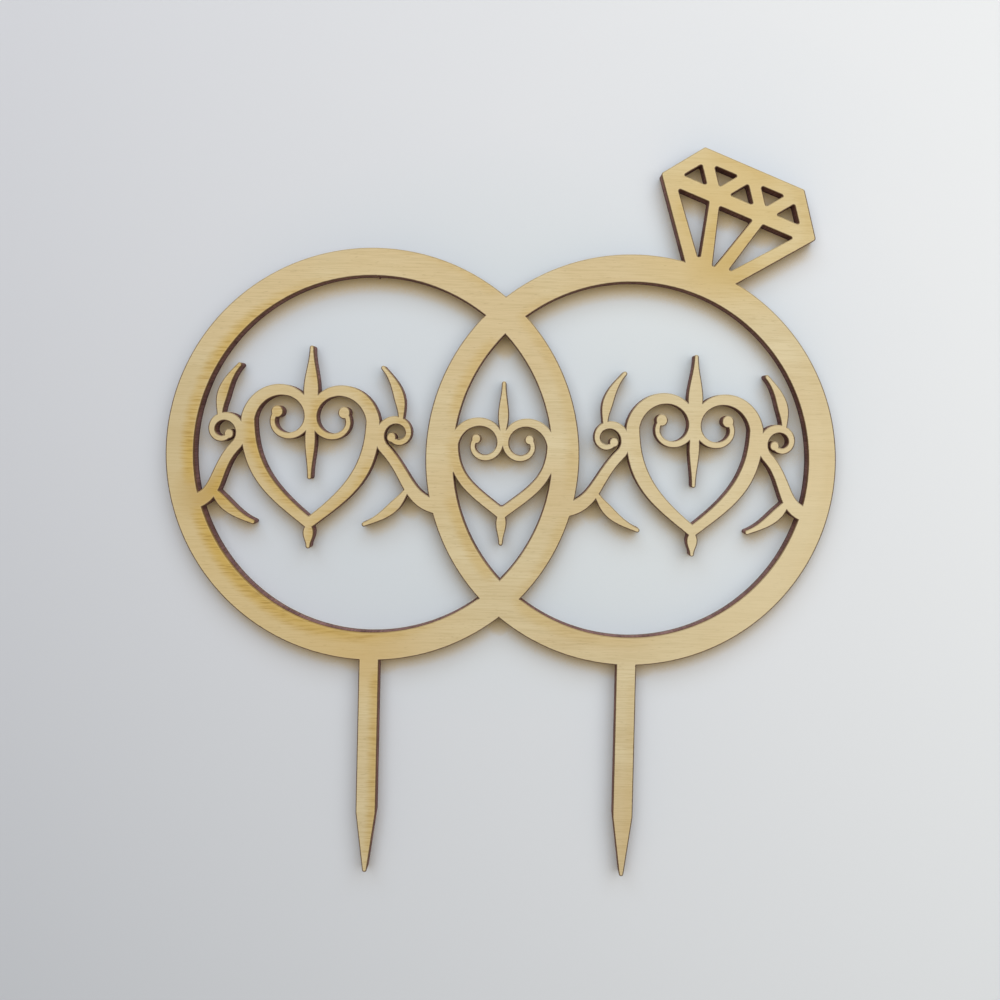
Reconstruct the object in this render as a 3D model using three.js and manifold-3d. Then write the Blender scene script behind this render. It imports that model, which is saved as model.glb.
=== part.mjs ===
// Wedding cake topper, cut by laser from one sheet of 3 mm three-ply wood: two linked rings, a
// faceted gem on one of them, scrollwork in the openings, and two stakes that push into a cake.
// Millimetres. +X to the right, +Z up along the stakes, the front face looks towards -Y.
// The origin is level with the stake tips, midway between the rings and at mid thickness.

import * as THREE from "three";
import { mergeVertices } from "three/addons/utils/BufferGeometryUtils.js";
import Module from "manifold-3d";

// The sheet: two thin face veneers glued to a thick core.
const faceVeneerThickness = 0.6;
const coreVeneerThickness = 1.8;

// The two equal rings, which share one flat outline where they cross.
const ringOuterRadius = 41.2;
const ringBandWidth = 5.55;
const ringSpacing = 51.6;

// The two stakes, one under the middle of each ring.
const stakeWidth = 4.0;
const stakeLength = 42.6;
const stakeTaperLength = 12.0;
const stakeTipRadius = 0.45;

// The gem leans with the radius of the right ring that it sits on. Its girdle stands above the
// ring's rim, its crown above the girdle, and its point is hidden below the rim.
const gemLeanDegrees = 21.6;
const gemGirdleHalfWidth = 16.9;
const gemGirdleHeight = 13.95;
const gemTableHalfWidth = 10.85;
const gemCrownHeight = 8.3;
const gemPointDepth = 7.7;
const gemCornerRadius = 0.6;

// The bars that the windows leave standing, measured level or upright, as the girdle lies.
const gemEdgeBar = 3.2;
const gemTableBar = 2.7;
const gemGirdleBar = 2.85;
const gemStrut = 2.35;
const gemTipBar = 3.6;

// Crown windows stand on their base and on their tip by turns. Pavilion windows run to the rim.
const crownWindowCount = 5;
const crownWindowBase = 5.1;
const crownWindowStagger = 0.75;
const pavilionCentreHalfWidth = 3.55;
const pavilionCentreTip = 0.3;
const pavilionSideTip = 0.7;
const windowCornerRadius = 0.28;

// Every cutting tool stands out of the sheet by this much on both faces.
const cutOverrun = 1;

// Scrollwork strokes, thick where the curve is open and thin where it curls up to a round bud.
const boldStroke = 3.1;
const middleStroke = 2.2;
const fineStroke = 1.15;
const largeBudRadius = 1.2;
const smallBudRadius = 0.95;
const leafTipWidth = 0.9;
const ornamentRise = 1.2;

// Where along its length a stroke is fullest.
const heartBellyShare = 0.3;
const sideBellyShare = 0.45;
const leafBellyShare = 0.4;

// A heart half: the stem leaves the foot at its heading and eases into the curl, which shrinks
// to its end share while it turns.
const heartHeadingDegrees = 38;
const heartEaseShare = 0.42;
const heartTurnDegrees = 400;
const heartEndShare = 0.3;

// The same for the side scroll on the ring's outer side; the inner one is its mirror image.
const sideHeadingDegrees = 2;
const sideFromDegrees = -45;
const sideTurnDegrees = 375;
const sideEaseShare = 0.45;
const sideEndShare = 0.36;
const curlEasing = 1.2;

// Shares of half the width of the opening that the scrollwork fills, from its middle.
const heartReachShare = 0.54;
const heartFootShare = -0.66;
const heartLobeShare = 0.24;
const sideStemShare = -0.5;
const sideCurlShares = [0.755, 0.13];
const sideCurlRadiusShare = 0.172;
const openingLeafShares = [
  { root: [0, 0.24], bend: [0, 0.5], tip: [0, 0.86], full: boldStroke },
  { root: [0, 0.3], bend: [0, 0], tip: [0, -0.26], full: middleStroke },
  { root: [0, -0.66], bend: [0, -0.74], tip: [0, -0.86], full: middleStroke },
  { root: [0.78, 0.25], bend: [0.8, 0.5], tip: [0.62, 0.7], full: middleStroke },
  { root: [0.85, -0.34], bend: [0.74, -0.56], tip: [0.48, -0.66], full: middleStroke },
];
const lensHeartFootShare = -1.15;
const lensHeartLobeShare = 0.25;
const lensLeafShares = [
  { root: [0, 0.4], bend: [0, 1], tip: [0, 1.5], full: middleStroke },
  { root: [0, -1.05], bend: [0, -1.4], tip: [0, -1.75], full: middleStroke },
];

// How finely the round outlines are cut into straight steps.
const ringSteps = 72;
const stemSteps = 7;
const curlStepDegrees = 25;
const budSteps = 8;
const leafSteps = 4;
const gemCornerSteps = 2;
const windowCornerSteps = 1;
const tipSteps = 4;

const ringInnerRadius = ringOuterRadius - ringBandWidth;
const halfSpacing = ringSpacing / 2;
const ringHeight = ringOuterRadius + stakeLength;
const sheetThickness = coreVeneerThickness + 2 * faceVeneerThickness;
const bandMiddleRadius = ringOuterRadius - ringBandWidth / 2;

const wasm = await Module();
wasm.setup();

const point = (x, y) => new THREE.Vector2(x, y);

// Closed outlines become solids of the wanted thickness, still lying in the XY plane.
function extrudeOutline(shape, thickness) {
  const options = { depth: thickness, bevelEnabled: false };
  const geometry = new THREE.ExtrudeGeometry(shape, options);
  geometry.deleteAttribute("normal");
  geometry.deleteAttribute("uv");
  const merged = mergeVertices(geometry);
  const mesh = new wasm.Mesh({
    numProp: 3,
    vertProperties: new Float32Array(merged.attributes.position.array),
    triVerts: new Uint32Array(merged.index.array),
  });
  return new wasm.Manifold(mesh);
}

// A polygon with every corner rounded by its own radius.
function roundedPolygon(corners, steps) {
  const outline = [];
  corners.forEach((corner, index) => {
    const before = corners[(index + corners.length - 1) % corners.length];
    const after = corners[(index + 1) % corners.length];
    const here = point(corner.x, corner.y);
    const back = point(before.x, before.y).sub(here).normalize();
    const ahead = point(after.x, after.y).sub(here).normalize();
    const halfAngle = Math.acos(back.dot(ahead)) / 2;
    const reach = corner.radius / Math.tan(halfAngle);
    if (reach === 0) {
      outline.push(here);
      return;
    }
    const bisector = back.clone().add(ahead).normalize();
    const centre = here.clone().addScaledVector(bisector, corner.radius / Math.sin(halfAngle));
    const first = here.clone().addScaledVector(back, reach).sub(centre);
    const last = here.clone().addScaledVector(ahead, reach).sub(centre);
    const sweep = Math.atan2(first.cross(last), first.dot(last));
    for (let step = 0; step <= steps; step += 1) {
      const turned = first.clone().rotateAround(point(0, 0), (sweep * step) / steps);
      outline.push(turned.add(centre));
    }
  });
  return outline;
}

const corner = (x, y, radius) => ({ x, y, radius });

function discShape(x, y, radius, steps) {
  const outline = [];
  for (let step = 0; step < steps; step += 1) {
    const angle = (2 * Math.PI * step) / steps;
    outline.push(point(x + radius * Math.cos(angle), y + radius * Math.sin(angle)));
  }
  return new THREE.Shape(outline);
}

const movedShape = (shape, offset) => new THREE.Shape(
  shape.getPoints().map((place) => place.clone().add(offset)),
);

const flippedShape = (shape) => new THREE.Shape(
  shape.getPoints().map(({ x, y }) => point(-x, y)),
);

// One ring band. Its centre is the origin of everything drawn on that ring.
function ringShape() {
  const shape = discShape(0, 0, ringOuterRadius, ringSteps);
  shape.holes.push(discShape(0, 0, ringInnerRadius, ringSteps));
  return shape;
}

// A stake from the middle of the ring band down to its rounded tip.
function stakeShape() {
  const half = stakeWidth / 2;
  const tip = -ringOuterRadius - stakeLength;
  const shoulder = tip + stakeTaperLength;
  const arcCentre = tip + stakeTipRadius;
  const drop = shoulder - arcCentre;
  const sideNormal = Math.acos(stakeTipRadius / Math.hypot(half, drop)) - Math.atan2(drop, half);
  const root = -bandMiddleRadius;
  const outline = [point(half, root), point(-half, root), point(-half, shoulder)];
  for (let step = 0; step <= tipSteps; step += 1) {
    const angle = Math.PI + sideNormal + ((Math.PI - 2 * sideNormal) * step) / tipSteps;
    outline.push(point(stakeTipRadius * Math.cos(angle), arcCentre + stakeTipRadius * Math.sin(angle)));
  }
  outline.push(point(half, shoulder));
  return new THREE.Shape(outline);
}

// The gem: its point is cut off in the middle of the band that carries it, and eight windows
// leave the bars that stand for the facet edges.
function gemSolid(thickness) {
  const rim = ringOuterRadius;
  const girdle = rim + gemGirdleHeight;
  const table = girdle + gemCrownHeight;
  const pavilionSlope = gemGirdleHalfWidth / (gemGirdleHeight + gemPointDepth);
  const pavilionHalf = (height) => (height - rim + gemPointDepth) * pavilionSlope;
  const crownSlope = (gemGirdleHalfWidth - gemTableHalfWidth) / gemCrownHeight;
  const crownHalf = (height) => gemGirdleHalfWidth - (height - girdle) * crownSlope;
  const rootHalf = pavilionHalf(bandMiddleRadius);
  const corners = [
    corner(-rootHalf, bandMiddleRadius, 0),
    corner(rootHalf, bandMiddleRadius, 0),
    corner(gemGirdleHalfWidth, girdle, gemCornerRadius),
    corner(gemTableHalfWidth, table, gemCornerRadius),
    corner(-gemTableHalfWidth, table, gemCornerRadius),
    corner(-gemGirdleHalfWidth, girdle, gemCornerRadius),
  ];
  const outline = new THREE.Shape(roundedPolygon(corners, gemCornerSteps));
  let gem = extrudeOutline(outline, thickness);
  const cutWindow = (...places) => {
    const rounded = places.map(([x, y]) => corner(x, y, windowCornerRadius));
    const window = new THREE.Shape(roundedPolygon(rounded, windowCornerSteps));
    const tool = extrudeOutline(window, thickness + 2 * cutOverrun);
    gem = gem.subtract(tool.translate([0, 0, -cutOverrun]));
  };

  const crownFoot = girdle + gemGirdleBar / 2;
  const crownTop = table - gemTableBar;
  const rowHalf = crownHalf(crownFoot) - gemEdgeBar - crownWindowBase / 2;
  for (let index = 0; index < crownWindowCount; index += 1) {
    const middle = rowHalf * ((2 * index) / (crownWindowCount - 1) - 1);
    const standing = index % 2 === 0;
    const base = standing ? crownFoot : crownTop;
    const tip = standing ? crownTop - crownWindowStagger : crownFoot + crownWindowStagger;
    const half = crownWindowBase / 2;
    cutWindow([middle - half, base], [middle + half, base], [middle, tip]);
  }

  const top = girdle - gemGirdleBar / 2;
  const centreHalf = pavilionCentreHalfWidth;
  cutWindow([-centreHalf, top], [centreHalf, top], [0, rim + pavilionCentreTip]);
  const inner = centreHalf + gemStrut;
  const outer = pavilionHalf(top) - gemEdgeBar;
  const sideTip = rim + pavilionSideTip;
  const tipOffset = pavilionHalf(sideTip) - gemTipBar;
  for (const side of [-1, 1]) {
    cutWindow([side * inner, top], [side * outer, top], [side * tipOffset, sideTip]);
  }
  return gem;
}

// A stroke of changing width along a centre line, fullest at the belly share of its length. It
// ends in a blunt point.
function strokeShape(centreLine, { start, belly, end, bellyShare }) {
  const travelled = [0];
  for (let index = 1; index < centreLine.length; index += 1) {
    travelled.push(travelled[index - 1] + centreLine[index].distanceTo(centreLine[index - 1]));
  }
  const total = travelled[travelled.length - 1];
  const left = [];
  const right = [];
  centreLine.forEach((here, index) => {
    const share = travelled[index] / total;
    const rising = share < bellyShare;
    const blend = rising ? share / bellyShare : (1 - share) / (1 - bellyShare);
    const eased = blend * blend * (3 - 2 * blend);
    const thin = rising ? start : end;
    const half = (thin + (belly - thin) * eased) / 2;
    const before = centreLine[Math.max(index - 1, 0)];
    const after = centreLine[Math.min(index + 1, centreLine.length - 1)];
    const across = after.clone().sub(before).normalize().rotateAround(point(0, 0), Math.PI / 2);
    left.push(here.clone().addScaledVector(across, half));
    right.push(here.clone().addScaledVector(across, -half));
  });
  const last = centreLine[centreLine.length - 1];
  const direction = last.clone().sub(centreLine[centreLine.length - 2]);
  const tip = direction.setLength(end / 2).add(last);
  return new THREE.Shape([...right, tip, ...left.reverse()]);
}

// A scroll is a stroke that ends in a round bud.
function scrollShapes(centreLine, widths, budRadius) {
  const end = centreLine[centreLine.length - 1];
  return [strokeShape(centreLine, widths), discShape(end.x, end.y, budRadius, budSteps)];
}

// The centre line of a scroll: a stem that leaves its carrier, then a logarithmic curl.
function scrollLine(scroll) {
  const { start, headingDegrees, centre, radius, fromDegrees, turnDegrees, endShare, easeShare } = scroll;
  const from = THREE.MathUtils.degToRad(fromDegrees);
  const turn = THREE.MathUtils.degToRad(turnDegrees);
  const along = (angle) => point(Math.cos(angle), Math.sin(angle));
  const curlStart = along(from).multiplyScalar(radius).add(centre);
  const arrival = along(from + (Math.sign(turn) * Math.PI) / 2);
  const ease = start.distanceTo(curlStart) * easeShare;
  const stem = new THREE.CubicBezierCurve(
    start,
    along(THREE.MathUtils.degToRad(headingDegrees)).multiplyScalar(ease).add(start),
    arrival.multiplyScalar(-ease).add(curlStart),
    curlStart,
  );
  const line = stem.getPoints(stemSteps);
  const curlSteps = Math.ceil(Math.abs(turnDegrees) / curlStepDegrees);
  for (let step = 1; step <= curlSteps; step += 1) {
    const share = (step / curlSteps) ** curlEasing;
    const reach = radius * endShare ** share;
    line.push(along(from + turn * share).multiplyScalar(reach).add(centre));
  }
  return line;
}

// A heart of two curls that lean on each other, drawn about the middle of its opening.
function heartShapes(reach, foot, lobeHeight, belly, budRadius) {
  const innerShare = heartEndShare ** (180 / heartTurnDegrees);
  const radius = (reach - fineStroke / 2) / (1 + innerShare);
  const line = scrollLine({
    start: point(0, foot),
    headingDegrees: heartHeadingDegrees,
    centre: point(reach - radius, lobeHeight),
    radius,
    fromDegrees: 0,
    turnDegrees: heartTurnDegrees,
    endShare: heartEndShare,
    easeShare: heartEaseShare,
  });
  const mirrored = line.map(({ x, y }) => point(-x, y));
  const widths = { start: middleStroke, belly, end: fineStroke, bellyShare: heartBellyShare };
  return [...scrollShapes(line, widths, budRadius), ...scrollShapes(mirrored, widths, budRadius)];
}

// A curved leaf that swells from its root and runs out to a blunt tip.
function leafShape({ root, bend, tip, full }, place, side) {
  const corners = [root, bend, tip].map(([x, y]) => place(x * side, y));
  const line = new THREE.QuadraticBezierCurve(...corners).getPoints(leafSteps);
  const widths = { start: fineStroke, belly: full, end: leafTipWidth, bellyShare: leafBellyShare };
  return strokeShape(line, widths);
}

// Leaves off the middle line come in mirrored pairs.
function leafShapes(leaves, place) {
  return leaves.flatMap((leaf) => {
    const sides = leaf.root[0] === 0 ? [1] : [-1, 1];
    return sides.map((side) => leafShape(leaf, place, side));
  });
}

// The scrollwork of the left opening, drawn about the middle of the left ring. The opening lies
// between the ring's own inner edge and the outer edge of the other ring.
function openingOrnament() {
  const crossingReach = ringSpacing - ringOuterRadius;
  const half = (ringInnerRadius + crossingReach) / 2;
  const middle = point((crossingReach - ringInnerRadius) / 2, ornamentRise);
  const place = (xShare, yShare) => point(middle.x + xShare * half, middle.y + yShare * half);
  const [reach, foot, lobe] = [heartReachShare, heartFootShare, heartLobeShare].map((s) => s * half);
  const heart = heartShapes(reach, foot, lobe, boldStroke, largeBudRadius);
  const shapes = heart.map((shape) => movedShape(shape, middle));
  shapes.push(...leafShapes(openingLeafShares, place));
  const widths = { start: boldStroke, belly: middleStroke, end: fineStroke, bellyShare: sideBellyShare };
  for (const side of [-1, 1]) {
    const height = middle.y + sideStemShare * half;
    const ownBand = -Math.sqrt(bandMiddleRadius ** 2 - height ** 2);
    const otherBand = ringSpacing - Math.sqrt(bandMiddleRadius ** 2 - height ** 2);
    const line = scrollLine({
      start: point(side < 0 ? ownBand : otherBand, height),
      headingDegrees: side < 0 ? sideHeadingDegrees : 180 - sideHeadingDegrees,
      centre: place(side * sideCurlShares[0], sideCurlShares[1]),
      radius: sideCurlRadiusShare * half,
      fromDegrees: side < 0 ? sideFromDegrees : 180 - sideFromDegrees,
      turnDegrees: -side * sideTurnDegrees,
      endShare: sideEndShare,
      easeShare: sideEaseShare,
    });
    shapes.push(...scrollShapes(line, widths, smallBudRadius));
  }
  return shapes;
}

// The smaller heart in the lens between the rings, drawn about the middle of the crossing. Its
// flanks run into the two ring bands.
function lensOrnament() {
  const half = ringInnerRadius - halfSpacing;
  const foot = lensHeartFootShare * half;
  const lobe = lensHeartLobeShare * half;
  const heart = heartShapes(half, foot, lobe, middleStroke, smallBudRadius);
  const place = (xShare, yShare) => point(xShare * half, yShare * half);
  return [...heart, ...leafShapes(lensLeafShares, place)];
}

// One ply of the topper: everything that the laser leaves standing, joined in one flat solid.
function plySolid(thickness) {
  const solids = [];
  const place = (solid, x) => solids.push(solid.translate([x, ringHeight, 0]));
  const add = (shape, x) => place(extrudeOutline(shape, thickness), x);
  for (const side of [-1, 1]) {
    add(ringShape(), side * halfSpacing);
    add(stakeShape(), side * halfSpacing);
  }
  place(gemSolid(thickness).rotate([0, 0, -gemLeanDegrees]), halfSpacing);
  for (const shape of openingOrnament()) {
    add(shape, -halfSpacing);
    add(flippedShape(shape), halfSpacing);
  }
  for (const shape of lensOrnament()) {
    add(shape, 0);
  }
  return solids.reduce((whole, solid) => whole.add(solid));
}

function plyMesh(name, thickness, frontDepth, colour, roughness) {
  const { vertProperties, triVerts } = plySolid(thickness).getMesh();
  const geometry = new THREE.BufferGeometry();
  geometry.setAttribute("position", new THREE.BufferAttribute(new Float32Array(vertProperties), 3));
  geometry.setIndex(new THREE.BufferAttribute(new Uint32Array(triVerts), 1));
  geometry.rotateX(Math.PI / 2);
  geometry.translate(0, thickness, 0);
  geometry.computeVertexNormals();
  const material = new THREE.MeshStandardMaterial({ color: colour, roughness, metalness: 0 });
  const mesh = new THREE.Mesh(geometry, material);
  mesh.name = name;
  mesh.position.y = frontDepth - sheetThickness / 2;
  return mesh;
}

const topper = new THREE.Group();
topper.add(plyMesh("front_veneer", faceVeneerThickness, 0, "#d2bc92", 0.6));
topper.add(plyMesh("core_veneer", coreVeneerThickness, faceVeneerThickness, "#5c3a37", 0.8));
const backDepth = faceVeneerThickness + coreVeneerThickness;
topper.add(plyMesh("back_veneer", faceVeneerThickness, backDepth, "#cdb68c", 0.65));

export default topper;
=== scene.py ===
"""Cake topper cut by laser from one sheet of three-ply wood, seen lying on a sheet of paper.

Two linked rings, a faceted gem on one of them, scrollwork in the openings and two stakes. The
outline is worked out in millimetres; everything that Blender holds is in metres.
"""
import math

import bpy
import numpy as np
from mathutils import Matrix, Vector
from mathutils.geometry import delaunay_2d_cdt


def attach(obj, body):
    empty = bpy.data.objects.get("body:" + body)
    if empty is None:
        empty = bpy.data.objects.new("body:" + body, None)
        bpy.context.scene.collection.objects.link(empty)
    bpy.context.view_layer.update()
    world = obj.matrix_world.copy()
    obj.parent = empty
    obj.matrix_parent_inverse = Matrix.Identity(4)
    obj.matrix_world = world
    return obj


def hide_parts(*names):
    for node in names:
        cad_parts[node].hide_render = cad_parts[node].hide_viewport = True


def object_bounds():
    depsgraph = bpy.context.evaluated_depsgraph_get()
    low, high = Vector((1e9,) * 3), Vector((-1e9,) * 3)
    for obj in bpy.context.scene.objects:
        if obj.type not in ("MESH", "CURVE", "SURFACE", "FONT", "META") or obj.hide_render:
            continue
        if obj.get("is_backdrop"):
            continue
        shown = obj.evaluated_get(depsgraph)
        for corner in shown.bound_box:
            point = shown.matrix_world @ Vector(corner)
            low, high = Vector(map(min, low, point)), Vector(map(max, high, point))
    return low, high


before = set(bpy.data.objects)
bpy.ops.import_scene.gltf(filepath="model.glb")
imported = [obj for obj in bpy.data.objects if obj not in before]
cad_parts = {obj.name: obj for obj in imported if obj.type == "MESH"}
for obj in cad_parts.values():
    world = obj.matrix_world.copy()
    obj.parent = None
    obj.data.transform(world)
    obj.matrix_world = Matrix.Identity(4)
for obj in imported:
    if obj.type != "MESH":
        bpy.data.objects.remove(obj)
cad_low, cad_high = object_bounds()
mm = 0.001

# The viewpoint: straight over the flat part at 190 mm, with a lens of 34 mm. The part lies turned
# clockwise by a little over a degree, and the camera looks a little to the right and down.
eye = Vector((4.12, -191.5, 92.0)) * mm
turn = math.radians(1.34)
look_right, look_down = 0.01442, 0.01116
right = Vector((math.cos(turn), 0, math.sin(turn)))
up = Vector((-math.sin(turn), 0, math.cos(turn)))
forward = (Vector((0, 1, 0)) + look_right * right - look_down * up).normalized()
right = forward.cross(up).normalized()
up = right.cross(forward)
camera = bpy.data.objects.new("camera", bpy.data.cameras.new("camera"))
camera.data.sensor_width = 36
camera.data.lens = 34.2
camera.data.shift_x = -0.0377
camera.data.shift_y = -0.0724
camera.data.clip_start = 0.01
camera.matrix_world = Matrix.Translation(eye) @ Matrix((right, up, -forward)).transposed().to_4x4()
bpy.context.scene.collection.objects.link(camera)
bpy.context.scene.camera = camera

# The laser's path. One outline cuts all three plies, so it is worked out once, on a fine raster
# that holds how far each point lies outside the wood, negative within it. The raster, and the patch
# of it that each form changes, reach a margin past the wood. Millimetres.
raster_step = 0.1
margin = 0.8
far_outside = 9.0
columns = np.arange(cad_low[0] / mm - margin, cad_high[0] / mm + margin, raster_step)
rows = np.arange(cad_low[2] / mm - margin, cad_high[2] / mm + margin, raster_step)
outside = np.full((rows.size, columns.size), far_outside)


def add_wood(low, high, distance):
    """Leaves wood standing wherever this form, which lies between low and high, is nearer."""
    left, right_end = np.searchsorted(columns, (low[0], high[0]))
    bottom, top = np.searchsorted(rows, (low[1], high[1]))
    part = outside[bottom:top, left:right_end]
    x, z = np.meshgrid(columns[left:right_end], rows[bottom:top])
    np.minimum(part, distance(x, z), out=part)


def outline_distance(corners, radius):
    """The distance from a convex outline, given anticlockwise, with its corners rounded."""
    corners = np.array(corners, float)
    edges = np.roll(corners, -1, axis=0) - corners
    inward = np.stack([-edges[:, 1], edges[:, 0]], axis=1)
    inward /= np.linalg.norm(edges, axis=1)[:, None]
    before = np.roll(inward, 1, axis=0)
    spread = 1 + (inward * before).sum(axis=1, keepdims=True)
    inset = corners + radius * (inward + before) / spread

    def distance(x, z):
        nearest = np.full(x.shape, np.inf)
        within = np.ones(x.shape, bool)
        for (ax, az), (bx, bz) in zip(inset, np.roll(inset, -1, axis=0)):
            ex, ez, px, pz = bx - ax, bz - az, x - ax, z - az
            along = np.clip((px * ex + pz * ez) / (ex * ex + ez * ez), 0, 1)
            nearest = np.minimum(nearest, np.hypot(px - along * ex, pz - along * ez))
            within &= ex * pz - ez * px > 0
        return np.where(within, -nearest, nearest) - radius

    return distance


# The two equal rings, which share one flat outline where they cross, and the stake under each.
# On the left ring a crumb of an uncut tab still stands at the top of the inner edge.
ring_outer = 41.2
ring_band = 5.55
ring_spacing = 51.6
stake_width = 4.0
stake_length = 42.6
stake_taper = 12.0
stake_tip_radius = 0.45
tab_width = 0.3
tab_height = 0.25
tab_offset = 0.2
ring_height = ring_outer + stake_length
ring_inner = ring_outer - ring_band
band_middle = ring_outer - ring_band / 2
whole_low, whole_high = (columns[0], rows[0]), (columns[-1] + margin, rows[-1] + margin)
half_stake = stake_width / 2
tip_drop = stake_taper - stake_tip_radius
tip_slant = math.hypot(half_stake, tip_drop)
tip_angle = math.atan2(half_stake, tip_drop) - math.asin(stake_tip_radius / tip_slant)
apex = stake_taper - half_stake / math.tan(tip_angle)
for side in (-1, 1):
    middle = side * ring_spacing / 2
    add_wood(
        whole_low,
        whole_high,
        lambda x, z: abs(np.hypot(x - middle, z - ring_height) - band_middle) - ring_band / 2,
    )
    stake = [
        (middle, apex),
        (middle + half_stake, stake_taper),
        (middle + half_stake, ring_height - band_middle),
        (middle - half_stake, ring_height - band_middle),
        (middle - half_stake, stake_taper),
    ]
    low, high = (middle - half_stake - margin, rows[0]), (middle + half_stake + margin, ring_height)
    add_wood(low, high, outline_distance(stake, stake_tip_radius))
tab_x, tab_z = tab_offset - ring_spacing / 2, ring_height + ring_inner
tab = [
    (tab_x - tab_width / 2, tab_z - tab_height),
    (tab_x + tab_width / 2, tab_z - tab_height),
    (tab_x + tab_width / 2, tab_z + tab_width),
    (tab_x - tab_width / 2, tab_z + tab_width),
]
low, high = (tab_x - margin, tab_z - margin), (tab_x + margin, tab_z + margin)
add_wood(low, high, outline_distance(tab, tab_width / 4))

# The gem leans with the radius of the right ring that it sits on. Eight windows leave the bars
# that stand for its facet edges: five in the crown, by turns base down and base up, and three long
# ones in the pavilion that run down to the ring's rim.
gem_lean = math.radians(21.6)
girdle_half = 16.9
girdle_height = 13.95
table_half = 10.85
crown_height = 8.3
point_depth = 7.7
gem_corner_radius = 0.6
edge_bar, tip_bar, table_bar, girdle_bar, strut = 3.2, 3.6, 2.7, 2.85, 2.35
window_base, window_stagger, window_corner_radius = 5.1, 0.75, 0.28
centre_window_half, centre_window_tip, side_window_tip = 3.55, 0.3, 0.7
girdle = ring_outer + girdle_height
table = girdle + crown_height


def pavilion_half(height):
    """Half the width of the gem's lower part, at a height above the middle of the ring."""
    return (height - ring_outer + point_depth) * girdle_half / (girdle_height + point_depth)


root_half = pavilion_half(band_middle)
gem_outline = outline_distance(
    [
        (-root_half, band_middle),
        (root_half, band_middle),
        (girdle_half, girdle),
        (table_half, table),
        (-table_half, table),
        (-girdle_half, girdle),
    ],
    gem_corner_radius,
)
windows = []
crown_foot, crown_top = girdle + girdle_bar / 2, table - table_bar
crown_slope = (girdle_half - table_half) / crown_height
row_half = girdle_half - crown_slope * girdle_bar / 2 - edge_bar - window_base / 2
for place in (-1, -0.5, 0, 0.5, 1):
    middle, half = place * row_half, window_base / 2
    if abs(place) == 0.5:
        base, tip, half = crown_top, crown_foot + window_stagger, -half
    else:
        base, tip = crown_foot, crown_top - window_stagger
    windows.append([(middle - half, base), (middle + half, base), (middle, tip)])
pavilion_top = girdle - girdle_bar / 2
tip = (0, ring_outer + centre_window_tip)
windows.append([(centre_window_half, pavilion_top), (-centre_window_half, pavilion_top), tip])
inner, outer = centre_window_half + strut, pavilion_half(pavilion_top) - edge_bar
side_tip = ring_outer + side_window_tip
side_offset = pavilion_half(side_tip) - tip_bar
windows.append([(outer, pavilion_top), (inner, pavilion_top), (side_offset, side_tip)])
windows.append([(-inner, pavilion_top), (-outer, pavilion_top), (-side_offset, side_tip)])
window_outlines = [outline_distance(corners, window_corner_radius) for corners in windows]


def gem_distance(x, z):
    """The distance from the leaning gem with its windows."""
    x, z = x - ring_spacing / 2, z - ring_height
    across = x * math.cos(gem_lean) - z * math.sin(gem_lean)
    along = x * math.sin(gem_lean) + z * math.cos(gem_lean)
    distance = gem_outline(across, along)
    for window in window_outlines:
        distance = np.maximum(distance, -window(across, along))
    return distance


add_wood((ring_spacing / 2, ring_height), whole_high, gem_distance)

# The scrollwork: strokes that are thick where the curve is open and thin where it curls up to a
# round bud. A heart of two curls fills each opening, with side scrolls that carry it to the rings,
# and pointed leaves. Shares are of half the width of the opening, from its middle.
bold, medium, fine = 3.1, 2.2, 1.15
large_bud, small_bud = 1.2, 0.95
leaf_tip = 0.9
ornament_rise = 1.2
# Where a heart's side, foot and lobes lie, and a scroll's root and the middle of its curl.
heart_shares = (0.54, -0.66, 0.24)
lens_heart_shares = (1, -1.15, 0.25)
scroll_root_share, scroll_radius_share, scroll_shares = -0.5, 0.172, (0.755, 0.13)
# How a stem leaves its root and how far its curl turns, in degrees. The curl ends with this share
# of its first radius, the stem eases into it over a share, and it is widest at the belly's share.
heart_heading, heart_turn = 38, 400
heart_end_share, heart_ease_share, heart_belly_share = 0.3, 0.42, 0.3
scroll_heading, scroll_start_angle, scroll_turn = 2, -45, 375
scroll_end_share, scroll_ease_share, scroll_belly_share = 0.36, 0.45, 0.45
stem_points, curl_points, leaf_points, curl_bunching = 40, 110, 24, 1.2
# Each leaf's root, bend and tip, and its greatest width.
leaf_belly_share = 0.4
leaf_shares = [
    ((0, 0.24), (0, 0.5), (0, 0.86), bold),
    ((0, 0.3), (0, 0), (0, -0.26), medium),
    ((0, -0.66), (0, -0.74), (0, -0.86), medium),
    ((0.78, 0.25), (0.8, 0.5), (0.62, 0.7), medium),
    ((0.85, -0.34), (0.74, -0.56), (0.48, -0.66), medium),
]
lens_leaf_shares = [
    ((0, 0.4), (0, 1), (0, 1.5), medium),
    ((0, -1.05), (0, -1.4), (0, -1.75), medium),
]


def add_stroke(line, start, belly, end, belly_share):
    """Leaves a stroke of changing width standing along a line of points."""
    line = np.array(line)
    travelled = np.concatenate([[0], np.cumsum(np.linalg.norm(np.diff(line, axis=0), axis=1))])
    share = travelled / travelled[-1]
    rising = share < belly_share
    blend = np.where(rising, share / belly_share, (1 - share) / (1 - belly_share))
    thin = np.where(rising, start, end)
    halves = (thin + (belly - thin) * blend * blend * (3 - 2 * blend)) / 2
    for a, b, wa, wb in zip(line, line[1:], halves, halves[1:]):
        reach = max(wa, wb) + margin
        step = b - a

        def distance(x, z):
            px, pz = x - a[0], z - a[1]
            along = np.clip((px * step[0] + pz * step[1]) / (step @ step), 0, 1)
            return np.hypot(px - along * step[0], pz - along * step[1]) - wa - (wb - wa) * along

        add_wood(np.minimum(a, b) - reach, np.maximum(a, b) + reach, distance)


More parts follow.
